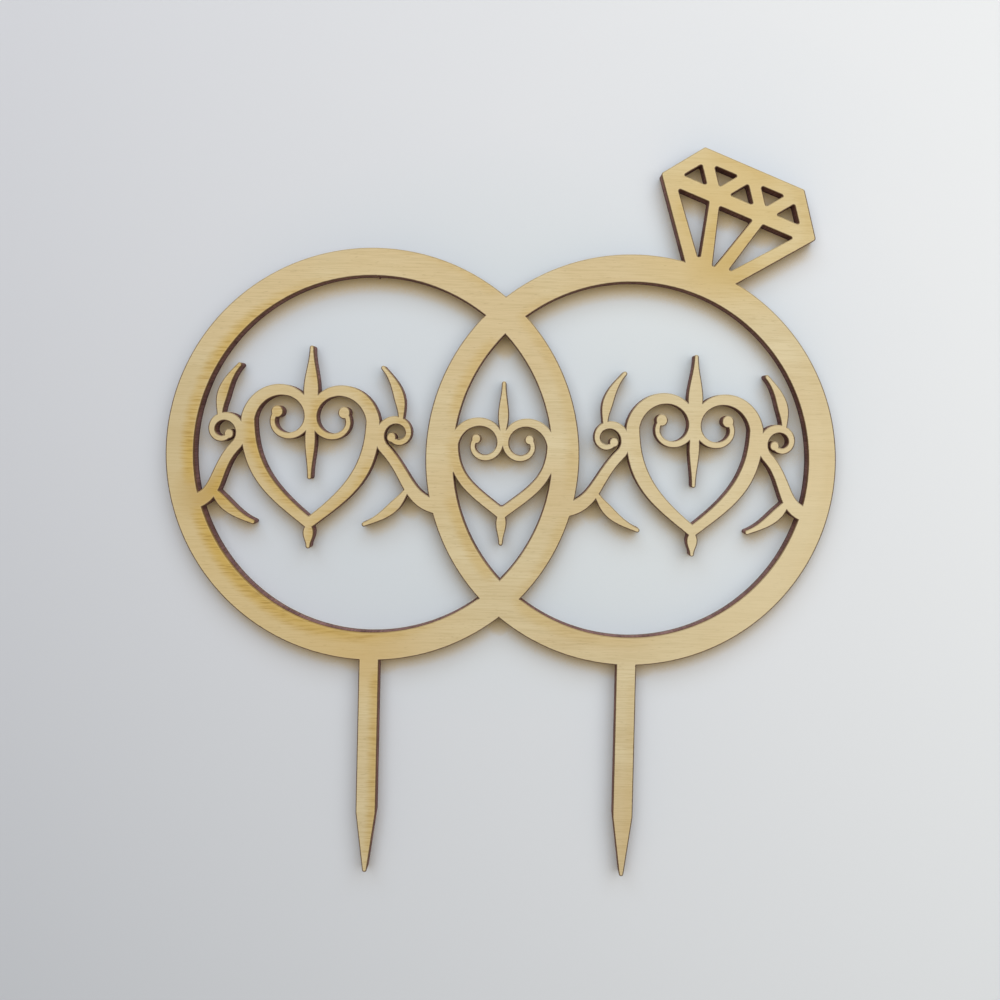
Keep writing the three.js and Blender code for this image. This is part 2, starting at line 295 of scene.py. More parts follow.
def add_scroll(
    mirror, start, heading, centre, radius, start_angle, turn_by, end_share, ease_share, widths, bud
):
    """A stem that eases into a curl with a bud, and the same again beyond the mirror line."""

    def direction(angle):
        return np.array([math.cos(angle), math.sin(angle)])

    start, centre = np.array(start, float), np.array(centre, float)
    curl_start = centre + radius * direction(start_angle)
    arrival = direction(start_angle + math.copysign(math.pi / 2, turn_by))
    ease = np.linalg.norm(curl_start - start) * ease_share
    controls = start, start + ease * direction(heading), curl_start - ease * arrival, curl_start
    line = []
    for t in np.linspace(0, 1, stem_points):
        weights = (1 - t) ** 3, 3 * t * (1 - t) ** 2, 3 * t * t * (1 - t), t**3
        line.append(sum(w * c for w, c in zip(weights, controls)))
    for share in np.linspace(0, 1, curl_points)[1:] ** curl_bunching:
        line.append(centre + radius * end_share**share * direction(start_angle + turn_by * share))
    line = np.array(line)
    for sign in (1, -1):
        drawn = line if sign > 0 else np.stack([2 * mirror - line[:, 0], line[:, 1]], axis=1)
        add_stroke(drawn, *widths)
        end, reach = drawn[-1], bud + margin
        add_wood(end - reach, end + reach, lambda x, z: np.hypot(x - end[0], z - end[1]) - bud)


def add_leaves(leaves, middle, rise, half):
    """Curved leaves that swell from the root and run out to a blunt tip, in pairs off the middle."""
    for root, bend, tip, full in leaves:
        for sign in (1,) if root[0] == 0 else (1, -1):
            away = np.array([sign * half, half])
            a, b, c = (np.array([middle, rise]) + away * point for point in (root, bend, tip))
            steps = np.linspace(0, 1, leaf_points)
            line = [(1 - t) ** 2 * a + 2 * t * (1 - t) * b + t * t * c for t in steps]
            add_stroke(line, fine, full, leaf_tip, leaf_belly_share)


def add_heart(middle, rise, reach, painted_light_at_foot, lobe, belly, bud):
    """Two curls that lean on each other over one foot."""
    radius = (reach - fine / 2) / (1 + heart_end_share ** (180 / heart_turn))
    add_scroll(
        middle,
        (middle, rise + painted_light_at_foot),
        math.radians(heart_heading),
        (middle + reach - radius, rise + lobe),
        radius,
        0,
        math.radians(heart_turn),
        heart_end_share,
        heart_ease_share,
        (medium, belly, fine, heart_belly_share),
        bud,
    )


half_opening = (ring_inner + ring_spacing - ring_outer) / 2
half_lens = ring_inner - ring_spacing / 2
left_middle = -ring_outer + half_opening - ring_spacing / 2 + ring_band
rise = ring_height + ornament_rise
heart_sizes = [share * half_opening for share in heart_shares]
for middle in (left_middle, -left_middle):
    add_heart(middle, rise, *heart_sizes, bold, large_bud)
    add_leaves(leaf_shares, middle, rise, half_opening)
root_height = ornament_rise + scroll_root_share * half_opening
root_reach = math.sqrt(band_middle**2 - root_height**2)
scroll_across, scroll_rise = (share * half_opening for share in scroll_shares)
for sign, root_x in ((-1, -ring_spacing / 2 - root_reach), (1, ring_spacing / 2 - root_reach)):
    add_scroll(
        0,
        (root_x, ring_height + root_height),
        math.radians(scroll_heading if sign < 0 else 180 - scroll_heading),
        (left_middle + sign * scroll_across, rise + scroll_rise),
        scroll_radius_share * half_opening,
        math.radians(scroll_start_angle if sign < 0 else 180 - scroll_start_angle),
        math.radians(-sign * scroll_turn),
        scroll_end_share,
        scroll_ease_share,
        (bold, medium, fine, scroll_belly_share),
        small_bud,
    )
lens_sizes = [share * half_lens for share in lens_heart_shares]
add_heart(0, ring_height, *lens_sizes, medium, small_bud)
add_leaves(lens_leaf_shares, 0, ring_height, half_lens)

# Smoke from the cut settles on the faces beside it. It drifts up to 2.4 mm to the left, and below
# the rings' middle downwards too, so an edge with open air to its right is stained widest. Open air
# on the other side, 1.6 mm away, thins the stain. The raster is blurred over the stain's width.
smoke_width = 1.5
smoke_drifts = (0.8, 1.6, 2.4)
smoke_fall_share = 0.8
lee_drift = -1.6
lee_share = 0.5
smoke_skip = 4
smoke_step = smoke_skip * raster_step
smoke_pad = 20
blur_reach = 12
open_air = (outside[::smoke_skip, ::smoke_skip] > 0).astype(float)
open_air = np.pad(open_air, smoke_pad, constant_values=1)
blur = np.arange(-blur_reach, blur_reach + 1) * smoke_step / smoke_width
blur = np.exp(-0.5 * blur**2)
for axis in (0, 1):
    open_air = np.apply_along_axis(np.convolve, axis, open_air, blur / blur.sum(), "same")


def sampled(raster, x, z, step=raster_step, pad=0):
    """The raster's value at each place, between its four nearest samples."""
    across, along = (x - columns[0]) / step + pad, (z - rows[0]) / step + pad
    i = np.clip(along.astype(int), 0, raster.shape[0] - 2)
    j = np.clip(across.astype(int), 0, raster.shape[1] - 2)
    u, v = across - j, along - i
    lower = raster[i, j] * (1 - u) + raster[i, j + 1] * u
    upper = raster[i + 1, j] * (1 - u) + raster[i + 1, j + 1] * u
    return lower * (1 - v) + upper * v


# The flat sheet that each ply grows from. The outline is traced on the raster, thinned, and filled
# with triangles. A second line inside it takes the broken edge, and a third one the scorched strip.
edge_break = 0.05
scorched_width = 0.25
scorched_tolerance = 0.01
facing_reach = 0.2
lattice_clearance_share = 0.6
same_point = 1e-7


def thinned(loop, tolerance, longest=2.0):
    """A closed line without the points that lie within the tolerance of a straight one."""
    closed = np.vstack([loop, loop[:1]])
    half = len(loop) // 2
    kept, stack = {0, half}, [(0, half), (half, len(loop))]
    while stack:
        a, b = stack.pop()
        if b - a < 2:
            continue
        chord = closed[b] - closed[a]
        length = math.hypot(*chord)
        offset = closed[a + 1 : b] - closed[a]
        gap = abs(chord[0] * offset[:, 1] - chord[1] * offset[:, 0]) / length
        worst = a + 1 + int(gap.argmax())
        if gap.max() <= tolerance and length <= longest:
            continue
        middle = worst if gap.max() > tolerance else (a + b) // 2
        kept.add(middle)
        stack += [(a, middle), (middle, b)]
    return loop[sorted(kept)]


def traced(level, tolerance=0.003, fewest=20):
    """The closed outlines where the raster crosses a level, with the wood on their left."""
    inside = outside < level
    code = inside[:-1, :-1] + 2 * inside[:-1, 1:] + 4 * inside[1:, 1:] + 8 * inside[1:, :-1]
    # From side to side of a cell, for each pattern of its corners: 0 bottom, 1 right, 2 top, 3 left.
    # A crossing's number is twice that of its side's lower or left corner, and 1 more on a side that
    # runs up.
    ways = {1: "03", 2: "10", 3: "13", 4: "21", 5: "0321", 6: "20", 7: "23", 8: "32"}
    ways |= {9: "02", 10: "1032", 11: "12", 12: "31", 13: "01", 14: "30"}
    width = columns.size
    following = {}
    for pattern, way in ways.items():
        i, j = np.nonzero(code == pattern)
        cell = i * width + j
        sides = [2 * cell, 2 * cell + 3, 2 * (cell + width), 2 * cell + 1]
        for k in range(0, len(way), 2):
            following.update(zip(sides[int(way[k])].tolist(), sides[int(way[k + 1])].tolist()))
    loops = []
    while following:
        first, crossing = following.popitem()
        chain = [first]
        while crossing != first:
            chain.append(crossing)
            crossing = following.pop(crossing)
        chain = np.array(chain)
        i, j, upright = chain // 2 // width, chain // 2 % width, chain % 2
        here, there = outside[i, j] - level, outside[i + upright, j + 1 - upright] - level
        share = here / (here - there)
        x = columns[0] + raster_step * (j + share * (1 - upright))
        z = rows[0] + raster_step * (i + share * upright)
        if len(chain) > fewest:
            loops.append(thinned(np.stack([x, z], axis=1), tolerance))
    return loops


def flat_sheet(name, lattice_step):
    """The cut outline as a flat sheet of triangles at y = 0 that faces +Y.

    Its points know how far they lie from the cut, which way the cut faces there, whether they
    are on it, and how much smoke settles there.
    """
    edge = traced(0.0)
    loops = edge + traced(-edge_break) + traced(-scorched_width, scorched_tolerance)
    # Inside the lines its points lie in rows, each half a step along from the one before.
    lattice, clearance = [], lattice_clearance_share * lattice_step
    for index, z in enumerate(np.arange(rows[0], rows[-1], lattice_step * math.sqrt(0.75))):
        x = np.arange(columns[0], columns[-1], lattice_step) + (index % 2) * lattice_step / 2
        deep = sampled(outside, x, np.full(x.shape, z)) < -clearance
        lattice.append(np.stack([x[deep], np.full(deep.sum(), z)], axis=1))
    points = np.vstack(loops + lattice)
    constraints, first = [], 0
    for loop in loops:
        count = len(loop)
        constraints += [(first + k, first + (k + 1) % count) for k in range(count)]
        first += count
    on_edge = sum(len(loop) for loop in edge)
    result = delaunay_2d_cdt([Vector(p) for p in points], constraints, [], 0, same_point)
    triangles = np.array([face for face in result[2] if len(face) == 3])
    origin = np.array([ids[0] for ids in result[3]])
    triangles = origin[triangles]
    # A triangle is wood if it touches an inner point or lies on the left of the cut, and air if it
    # lies on the right of it. The others are what the triangles beside them are.
    count = len(points)
    directed = np.array([a * count + b for a, b in constraints[:on_edge]])
    ahead = triangles * count + np.roll(triangles, -1, axis=1)
    back = np.roll(triangles, -1, axis=1) * count + triangles
    wood = (triangles >= on_edge).any(axis=1) | np.isin(ahead, directed).any(axis=1)
    air = ~wood & np.isin(back, directed).any(axis=1)
    while not (wood | air).all():
        beside_wood = np.isin(back, ahead[wood]).any(axis=1)
        wood, air = wood | (beside_wood & ~air), air | ~(beside_wood | wood)
    triangles = triangles[wood][:, ::-1]
    mesh = bpy.data.meshes.new(name)
    flat = np.stack([points[:, 0], np.zeros(count), points[:, 1]], axis=1) * mm
    mesh.from_pydata(flat.tolist(), [], triangles.tolist())
    x, z = points[:, 0], points[:, 1]
    depth = np.maximum(-sampled(outside, x, z), 0)
    depth[:on_edge] = 0
    fall = smoke_fall_share * np.clip((ring_height - z) / ring_outer, 0, 1)
    *windward, lee = (
        sampled(open_air, x + drift, z + drift * fall, smoke_step, smoke_pad)
        for drift in (*smoke_drifts, lee_drift)
    )
    smoke = np.max(windward, axis=0) - lee_share * lee
    above, below = sampled(outside, x, z + facing_reach), sampled(outside, x, z - facing_reach)
    for attribute, values in (
        ("edge_distance", depth),
        ("smoke", smoke),
        ("faces_up", (above - below) / (2 * facing_reach)),
        ("rim", (np.arange(count) < on_edge).astype(float)),
    ):
        mesh.attributes.new(attribute, "FLOAT", "POINT").data.foreach_set("value", values)
    return mesh


# How a ply stands on its flat sheet. The tree gives the sheet its thickness, breaks the two edges
# of the cut and gives the faces and the cut walls their finishes; each of the three plies uses it.
veneer_thickness = 0.6
core_thickness = 1.8
sheet_front = -(core_thickness / 2 + veneer_thickness)
# Edges that bend by more than this stay sharp, and points nearer than this become one.
sharp_angle = math.radians(40)
merge_distance = 0.002


def add_node(tree, kind, inputs=None, **settings):
    """A node with its settings; inputs maps a socket's name or number to a value or a link."""
    node = tree.nodes.new(kind)
    for name, value in settings.items():
        setattr(node, name, value)
    for key, value in (inputs or {}).items():
        if isinstance(value, bpy.types.NodeSocket):
            tree.links.new(value, node.inputs[key])
        else:
            node.inputs[key].default_value = value
    return node


ply_tree = bpy.data.node_groups.new("ply_from_flat_sheet", "GeometryNodeTree")
for socket, kind in (
    ("Sheet", "NodeSocketGeometry"),
    ("Front Depth", "NodeSocketFloat"),
    ("Thickness", "NodeSocketFloat"),
    ("Edge Break", "NodeSocketFloat"),
    ("Face Finish", "NodeSocketMaterial"),
    ("Cut Finish", "NodeSocketMaterial"),
):
    ply_tree.interface.new_socket(socket, in_out="INPUT", socket_type=kind)
ply_tree.interface.new_socket("Ply", in_out="OUTPUT", socket_type="NodeSocketGeometry")
given = add_node(ply_tree, "NodeGroupInput").outputs

# Where the front and the back of each point come to lie. Both drop a little on the cut's own rim.
rim = add_node(ply_tree, "GeometryNodeInputNamedAttribute", {"Name": "rim"}, data_type="FLOAT")
drop = {0: rim.outputs[0], 1: given["Edge Break"]}
drop = add_node(ply_tree, "ShaderNodeMath", drop, operation="MULTIPLY").outputs[0]
front_y = {0: given["Front Depth"], 1: drop}
front_y = add_node(ply_tree, "ShaderNodeMath", front_y, operation="ADD").outputs[0]
back_y = {0: given["Front Depth"], 1: given["Thickness"]}
back_y = add_node(ply_tree, "ShaderNodeMath", back_y, operation="ADD").outputs[0]
back_y = {0: back_y, 1: drop}
back_y = add_node(ply_tree, "ShaderNodeMath", back_y, operation="SUBTRACT").outputs[0]
place = add_node(ply_tree, "GeometryNodeInputPosition").outputs[0]
apart = add_node(ply_tree, "ShaderNodeSeparateXYZ", {0: place}).outputs
front_place = {0: apart[0], 1: front_y, 2: apart[2]}
front_place = add_node(ply_tree, "ShaderNodeCombineXYZ", front_place).outputs[0]
back_place = {0: apart[0], 1: back_y, 2: apart[2]}
back_place = add_node(ply_tree, "ShaderNodeCombineXYZ", back_place).outputs[0]

# The front face is copied backwards, which leaves the cut walls between, and closes the front.
front = {"Geometry": given["Sheet"], "Position": front_place}
front = add_node(ply_tree, "GeometryNodeSetPosition", front).outputs[0]
backwards = add_node(ply_tree, "FunctionNodeInputVector", vector=(0, 1, 0)).outputs[0]
grown = {"Mesh": front, "Offset": backwards, "Offset Scale": given["Thickness"], "Individual": False}
grown = add_node(ply_tree, "GeometryNodeExtrudeMesh", grown, mode="FACES").outputs
back = {"Geometry": grown["Mesh"], "Selection": grown["Top"], "Position": back_place}
back = add_node(ply_tree, "GeometryNodeSetPosition", back).outputs[0]
turned = add_node(ply_tree, "GeometryNodeFlipFaces", {"Mesh": front}).outputs[0]
both = add_node(ply_tree, "GeometryNodeJoinGeometry")
for part in (turned, back):
    ply_tree.links.new(part, both.inputs[0])
closed = {"Geometry": both.outputs[0], "Distance": merge_distance * mm}
closed = add_node(ply_tree, "GeometryNodeMergeByDistance", closed).outputs[0]
faced = {"Geometry": closed, "Material": given["Face Finish"]}
faced = add_node(ply_tree, "GeometryNodeSetMaterial", faced).outputs[0]
walled = {"Geometry": faced, "Selection": grown["Side"], "Material": given["Cut Finish"]}
walled = add_node(ply_tree, "GeometryNodeSetMaterial", walled).outputs[0]
real = add_node(ply_tree, "GeometryNodeRealizeInstances", {"Geometry": walled}).outputs[0]
add_node(ply_tree, "NodeGroupOutput", {"Ply": real})


def make_ply(name, sheet, front_depth, thickness, face_finish, cut_finish):
    """One ply as a plain closed mesh that replaces the node of the same name."""
    piece = bpy.data.objects.new(name + "_piece", sheet)
    bpy.context.scene.collection.objects.link(piece)
    sheet.materials.append(face_finish)
    sheet.materials.append(cut_finish)
    modifier = piece.modifiers.new("ply", "NODES")
    modifier.node_group = ply_tree
    values = {
        "Front Depth": front_depth * mm,
        "Thickness": thickness * mm,
        "Edge Break": edge_break * mm,
        "Face Finish": face_finish,
        "Cut Finish": cut_finish,
    }
    for socket in ply_tree.interface.items_tree:
        if socket.item_type == "SOCKET" and socket.name in values:
            modifier[socket.identifier] = values[socket.name]
    graph = bpy.context.evaluated_depsgraph_get()
    mesh = bpy.data.meshes.new_from_object(piece.evaluated_get(graph), depsgraph=graph)
    piece.modifiers.clear()
    piece.data = mesh
    mesh.shade_smooth()
    mesh.set_sharp_from_angle(angle=sharp_angle)
    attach(piece, "root")
    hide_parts(name)


def linear(hex_colour):
    """An sRGB hex colour as Blender's linear red, green, blue and alpha."""
    shares = [int(hex_colour[k : k + 2], 16) / 255 for k in (1, 3, 5)]
    return *(s / 12.92 if s <= 0.04045 else ((s + 0.055) / 1.055) ** 2.4 for s in shares), 1.0


def charred_cut(name, deep, light, glow, glow_depth):
    """Wood burnt by the laser: soot in fine lines along the beam, browner next to the face."""
    material = bpy.data.materials.new(name)
    material.use_nodes = True
    tree = material.node_tree
    tree.nodes.clear()
    place = add_node(tree, "ShaderNodeTexCoord").outputs["Object"]

    # The beam leaves fine lines through the sheet, and soot lies on them in patches. Millimetres.
    line_spacing, line_length, line_relief, soot_length = 0.345, 16.7, 0.04, 4
    beam = (1 / (line_spacing * mm), 1 / (line_length * mm), 1 / (line_spacing * mm))
    beam = add_node(tree, "ShaderNodeMapping", {"Vector": place, "Scale": beam}).outputs[0]
    lines = {"Vector": beam, "Scale": 1, "Detail": 2, "Roughness": 0.6}
    lines = add_node(tree, "ShaderNodeTexNoise", lines).outputs[0]
    soot = {"Vector": place, "Scale": 1 / (soot_length * mm), "Detail": 3, "Roughness": 0.5}
    soot = add_node(tree, "ShaderNodeTexNoise", soot).outputs[0]
    both = add_node(tree, "ShaderNodeMath", {0: lines, 1: soot}, operation="ADD").outputs[0]

    # In a Map Range node, inputs 1 and 2 are the range that is read and 3 and 4 the one that it
    # becomes, from 0 to 1 where they are left out. In a Mix node, 6 and 7 are the two colours.
    share = add_node(tree, "ShaderNodeMapRange", {0: both, 1: 0.7, 2: 1.3}).outputs[0]
    layers = {0: share, 6: linear(deep), 7: linear(light)}
    body = add_node(tree, "ShaderNodeMix", layers, data_type="RGBA").outputs[2]
    depth = add_node(tree, "ShaderNodeSeparateXYZ", {0: place}).outputs[1]
    near = {0: depth, 1: sheet_front * mm, 2: (sheet_front + glow_depth) * mm, 3: 1.0, 4: 0.0}
    near = add_node(tree, "ShaderNodeMapRange", near).outputs[0]
    layers = {0: near, 6: body, 7: linear(glow)}
    colour = add_node(tree, "ShaderNodeMix", layers, data_type="RGBA").outputs[2]
    relief = {"Strength": 0.5, "Distance": line_relief * mm, "Height": lines}
    bump = add_node(tree, "ShaderNodeBump", relief).outputs[0]
    shader = {"Base Color": colour, "Roughness": 0.8, "Specular IOR Level": 0.12, "Normal": bump}
    shader = add_node(tree, "ShaderNodeBsdfPrincipled", shader).outputs[0]
    add_node(tree, "ShaderNodeOutputMaterial", {"Surface": shader})
    return material


def sanded_veneer(name, smoke_share):
    """Basswood veneer, sanded and left bare: pale, fine level grain, stained gold beside the cut."""
    material = bpy.data.materials.new(name)
    material.use_nodes = True
    tree = material.node_tree
    tree.nodes.clear()
    place = add_node(tree, "ShaderNodeTexCoord").outputs["Object"]
    across = add_node(tree, "ShaderNodeSeparateXYZ", {0: place}).outputs[0]

    # Noise drawn out along the grain. Its streaks are this long and this high in millimetres: the
    # vessels of the wood, the bands of its growth, the few open pores, patches of another shade, and
    # the lines that drank more smoke than the wood beside them.
    streak_depth = 2.5
    grain = {}
    for kind, length, height, detail in (
        ("vessels", 6, 0.16, 2),
        ("bands", 60, 7, 2),
        ("pores", 1.6, 0.15, 1),
        ("patches", 26, 22, 1),
        ("hatch", 3.5, 0.2, 2),
    ):
        scale = (1 / (length * mm), 1 / (streak_depth * mm), 1 / (height * mm))
        drawn = add_node(tree, "ShaderNodeMapping", {"Vector": place, "Scale": scale}).outputs[0]
        settings = {"Vector": drawn, "Scale": 1, "Detail": detail, "Roughness": 0.55}
        grain[kind] = add_node(tree, "ShaderNodeTexNoise", settings).outputs[0]

    # Each layer of colour lies over the ones before it, where its own share says so.
    wood = linear("#cebb91")
    for kind, low, high, most, colour in (
        ("bands", 0.35, 0.65, 1.0, "#d5c49c"),
        ("patches", 0.4, 0.65, 0.7, "#cbb385"),
        ("vessels", 0.4, 0.75, 0.36, "#ab9562"),
        ("pores", 0.66, 0.78, 0.38, "#8a7347"),
    ):
        share = {0: grain[kind], 1: low, 2: high, 3: 0.0, 4: most}
        share = add_node(tree, "ShaderNodeMapRange", share, interpolation_type="SMOOTHSTEP").outputs[0]
        layers = {0: share, 6: wood, 7: linear(colour)}
        wood = add_node(tree, "ShaderNodeMix", layers, data_type="RGBA").outputs[2]

    # The stain is heavy on the left ring and nearly gone on the far side of the right one. The
    # lean is partly painted shade too, darker to the left where the light falls off.
    heavy_side, light_side, light_share = -55, 35, 0.1
    lean = {0: across, 1: heavy_side * mm, 2: light_side * mm, 3: smoke_share}
    lean |= {4: light_share * smoke_share}
    lean = add_node(tree, "ShaderNodeMapRange", lean).outputs[0]

    # Some parts of the face took more of it, and a little gold all over: the foot of the left
    # ring, the gem and its root, and the left joint, where cuts lie close together. The left
    # end is darker and the lower right paler, painted light that falls off towards the left.
    # Each part has a middle, a near and a far distance, a greatest share of its colour, and one
    # of the stain.
    for middle, near, far, most, colour, stained in (
        ((-48, 0, 58), 12, 46, 0.22, "#cdb06b", 0.55),
        ((-29, 0, 45), 3, 14, 0.55, "#c5a464", 0.7),
        ((45, 0, 135), 8, 26, 0.5, "#cdb06b", 0.5),
        ((43.5, 0, 123.5), 2, 9, 0.6, "#bf9f58", 0.7),
        ((-59, 0, 76), 2, 7, 0.85, "#b7944c", 0.0),
        # Painted light: the left end darker and the lower right paler.
        ((-66, 0, 88), 5, 26, 0.5, "#b9a376", 0.0),
        ((64, 0, 62), 16, 50, 0.48, "#e1cfa5", 0.0),
    ):
        apart = {0: place, 1: [part * mm for part in middle]}
        apart = add_node(tree, "ShaderNodeVectorMath", apart, operation="DISTANCE").outputs["Value"]
        share = {0: apart, 1: near * mm, 2: far * mm, 3: stained, 4: 0.0}
        share = add_node(tree, "ShaderNodeMapRange", share).outputs[0]
        lean = add_node(tree, "ShaderNodeMath", {0: lean, 1: share}, operation="MAXIMUM").outputs[0]
        share = {0: apart, 1: near * mm, 2: far * mm, 3: most, 4: 0.0}
        share = add_node(tree, "ShaderNodeMapRange", share).outputs[0]
        layers = {0: share, 6: wood, 7: linear(colour)}
        wood = add_node(tree, "ShaderNodeMix", layers, data_type="RGBA").outputs[2]

    # The stain beside the cut runs along the grain, so streaks push its limit in and out, and some
    # of them drank more of it.
    smoke = add_node(tree, "ShaderNodeAttribute", attribute_name="smoke").outputs["Fac"]
    ragged = {0: grain["hatch"], 1: 0.5, 2: smoke}
    ragged = add_node(tree, "ShaderNodeMath", ragged, operation="MULTIPLY_ADD").outputs[0]
    reach = {0: ragged, 1: 0.4, 2: 1.15}
    reach = add_node(tree, "ShaderNodeMapRange", reach, interpolation_type="SMOOTHSTEP").outputs[0]
    stain = add_node(tree, "ShaderNodeMath", {0: reach, 1: lean}, operation="MULTIPLY").outputs[0]
    drank = {0: grain["hatch"], 1: 0.46, 2: 0.68}
    drank = add_node(tree, "ShaderNodeMapRange", drank, interpolation_type="SMOOTHSTEP").outputs[0]
    drank = add_node(tree, "ShaderNodeMath", {0: stain, 1: drank}, operation="MULTIPLY").outputs[0]
    for share, most, colour in ((stain, 0.85, "#c29f48"), (drank, 0.54, "#8d6b2e")):
        share = add_node(tree, "ShaderNodeMath", {0: share, 1: most}, operation="MULTIPLY").outputs[0]
        layers = {0: share, 6: wood, 7: linear(colour)}
        wood = add_node(tree, "ShaderNodeMix", layers, data_type="RGBA").outputs[2]

    # The last tenths of a millimetre beside the cut: scorched dark at the edge, with a painted
    # highlight inside it where the broken edge would catch the light. The scorch is darkest at the
    # edges that face down and least at those that face up, which is painted shade under light from
    # above. Distances from the cut are in millimetres.
    edge = add_node(tree, "ShaderNodeAttribute", attribute_name="edge_distance").outputs["Fac"]
    rise = add_node(tree, "ShaderNodeMapRange", {0: edge, 1: 0.16, 2: 0.24, 4: 0.14}).outputs[0]
    fall = add_node(tree, "ShaderNodeMapRange", {0: edge, 1: 0.42, 2: 0.28}).outputs[0]
    painted_edge_highlight = add_node(tree, "ShaderNodeMath", {0: rise, 1: fall}, operation="MULTIPLY").outputs[0]
    # Painted highlight: a pale line just inside the scorched edge.
    layers = {0: painted_edge_highlight, 6: wood, 7: linear("#e6d6ac")}
    wood = add_node(tree, "ShaderNodeMix", layers, data_type="RGBA").outputs[2]
    uneven = {0: grain["pores"], 1: -0.1, 2: edge}
    uneven = add_node(tree, "ShaderNodeMath", uneven, operation="MULTIPLY_ADD").outputs[0]
    # Painted shade: the scorched line is darker at edges that face down than at those that face up.
    up = add_node(tree, "ShaderNodeAttribute", attribute_name="faces_up").outputs["Fac"]
    painted_shade_by_facing = add_node(tree, "ShaderNodeMapRange", {0: up, 1: 0.2, 2: 0.9, 3: 1.0, 4: 0.3}).outputs[0]
    scorch_and_painted_shade = {0: uneven, 1: 0.21, 2: 0.05, 4: painted_shade_by_facing}
    scorch_and_painted_shade = add_node(tree, "ShaderNodeMapRange", scorch_and_painted_shade).outputs[0]
    layers = {0: scorch_and_painted_shade, 6: wood, 7: linear("#4f3522")}
    wood = add_node(tree, "ShaderNodeMix", layers, data_type="RGBA").outputs[2]

    # The vessels are open to the face, as grooves of 0.02 mm.
    groove_depth = 0.02
    relief = {"Strength": 0.2, "Distance": groove_depth * mm, "Height": grain["vessels"]}
    bump = add_node(tree, "ShaderNodeBump", relief).outputs[0]
    shader = {"Base Color": wood, "Roughness": 0.6, "Specular IOR Level": 0.3, "Normal": bump}
    shader = add_node(tree, "ShaderNodeBsdfPrincipled", shader).outputs[0]
    add_node(tree, "ShaderNodeOutputMaterial", {"Surface": shader})
    return material


# The core ply: 1.8 mm of cheaper wood, its grain crossing the faces. Only its burnt edge shows,
# as the wide red-brown band in the middle of the cut wall.
core_lattice = 3.0
core_cut = charred_cut("charred_core_edge", "#5c3e3a", "#967069", glow="#875b43", glow_depth=0.4)
make_ply(
    "core_veneer",
    flat_sheet("core_sheet", core_lattice),
    sheet_front + veneer_thickness,
    core_thickness,
    core_cut,
    core_cut,
)

# The front face veneer: 0.6 mm of basswood glued on the core, grain from left to right. Its own
# cut edge is browner than the core's, most of all next to the face.
face_lattice = 0.5
make_ply(
    "front_veneer",
    flat_sheet("front_sheet", face_lattice),
    sheet_front,
    veneer_thickness,
    sanded_veneer("sanded_front_veneer", smoke_share=1.0),
    charred_cut("charred_front_edge", "#583a28", "#7d5a3a", glow="#8b683e", glow_depth=0.5),
)

# The back face veneer: the same veneer on the other side, with the darkest cut edge, where the
# smoke left the kerf.
make_ply(
    "back_veneer",
    flat_sheet("back_sheet", face_lattice),
    sheet_front + veneer_thickness + core_thickness,
    veneer_thickness,
    sanded_veneer("sanded_back_veneer", smoke_share=1.2),
    charred_cut("charred_back_edge", "#46333a", "#6a525a", glow="#58434a", glow_depth=0.1),
)

# The stage: one sheet of pale paper that the part lies on. It has one side only and lets the
# shortest rays pass, so that the part's own back is lit and shows in views from behind. Millimetres.
paper_half, paper_height, paper_gap = 300, 80, 0.1
passing_ray = 0.35
# Where its painted light and shade change: over the picture, round the part and beside the wood; and
# where it fades out to the backdrop.
view_half, view_foot, view_head = 100, -20, 180
cool_field_height, cool_field_shape, cool_near, cool_far = 88, 1.3, 45, 78
lit_shade_reach, brown_shade_reach = 30, 4
fade_near, fade_far = 150, 210
paper = bpy.data.materials.new("pale_paper")
paper.use_nodes = True
tree = paper.node_tree
tree.nodes.clear()
place = add_node(tree, "ShaderNodeTexCoord").outputs["Object"]
apart = add_node(tree, "ShaderNodeSeparateXYZ", {0: place}).outputs
across = {0: apart[0], 1: -view_half * mm, 2: view_half * mm}
across = add_node(tree, "ShaderNodeMapRange", across).outputs[0]
along = {0: apart[2], 1: view_foot * mm, 2: view_head * mm}
along = add_node(tree, "ShaderNodeMapRange", along).outputs[0]

# Painted light on the paper, at its left and right: its tints at its foot and at its head, lighter
# to the upper right as the light falls off, and the painted cool shade round the part.
sides = []
for left_tint, right_tint in (("#cacdd2", "#e7eaec"), ("#ceced1", "#e3e3e2"), ("#f9fdff", "#fdfefa")):
    ends = {0: across, 6: linear(left_tint), 7: linear(right_tint)}
    sides.append(add_node(tree, "ShaderNodeMix", ends, data_type="RGBA").outputs[2])
painted_light_at_foot, painted_light_at_head, painted_cool_tint = sides

# Round the part the paper is painted a little cooler, a painted shade, over a field wider than it is
# tall.
field = {"Vector": place, "Scale": (1, 0, cool_field_shape)}
field = add_node(tree, "ShaderNodeMapping", field).outputs[0]
field = {0: field, 1: (0, 0, cool_field_shape * cool_field_height * mm)}
field = add_node(tree, "ShaderNodeVectorMath", field, operation="DISTANCE").outputs[1]
painted_shade_near_part = {0: field, 1: cool_near * mm, 2: cool_far * mm, 3: 1.0, 4: 0.0}
painted_shade_near_part = add_node(tree, "ShaderNodeMapRange", painted_shade_near_part).outputs[0]

